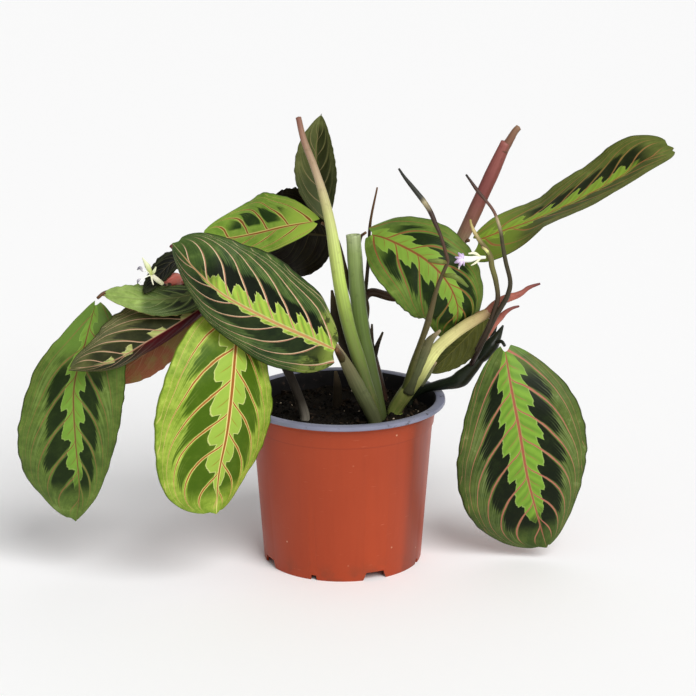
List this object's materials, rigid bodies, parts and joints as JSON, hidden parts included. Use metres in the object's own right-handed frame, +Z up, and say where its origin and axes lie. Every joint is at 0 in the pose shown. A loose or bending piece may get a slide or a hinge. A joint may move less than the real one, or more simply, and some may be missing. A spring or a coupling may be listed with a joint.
{
  "type": "potted prayer plant",
  "caption": "Leafy prayer plant in a round nursery pot: broad oval patterned leaves on slender stems, dark soil and small pale flowers.",
  "frame": {"origin": "middle of the underside of the pot's floor, where it rests on the ground", "axes": "+Z up, +X along the plant's widest spread, -Y towards the side that the leaves face"},
  "size_m": [0.3745, 0.1444, 0.2616],
  "materials": {
    "pot_plastic": "satin",
    "potting_soil": "matte",
    "trailing_stem": "matte",
    "green_stem": "satin",
    "pink_stem": "satin",
    "cream_shoot": "satin",
    "dark_stem": "satin",
    "dry_sheath": "matte",
    "leaf_green": "satin",
    "leaf_lime_green": "satin",
    "leaf_dark_green": "satin",
    "leaf_underside": "satin",
    "petals": "matte"
  },
  "bodies": {
    "root": {"pot": "pot_plastic", "soil": "potting_soil", "left_stem": "trailing_stem", "centre_stems": "green_stem", "back_stem": "pink_stem", "right_shoot": "cream_shoot", "hanging_stem": "dark_stem", "sheath_stub": "dry_sheath", "leaf_far_left": "leaf_green", "leaf_left_front": "leaf_dark_green", "leaf_left_lower": "leaf_underside", "leaf_lime": "leaf_lime_green", "leaf_front": "leaf_dark_green", "leaf_upper_left": "leaf_lime_green", "leaf_top": "leaf_dark_green", "leaf_rear": "leaf_underside", "leaf_right": "leaf_lime_green", "leaf_long_right": "leaf_green", "leaf_hanging_right": "leaf_green", "leaf_small_right": "leaf_underside", "leaf_pale_left": "leaf_green", "leaf_small_left": "leaf_dark_green", "flower_left": "petals", "flower_right": "petals"}
  },
  "joints": []
}
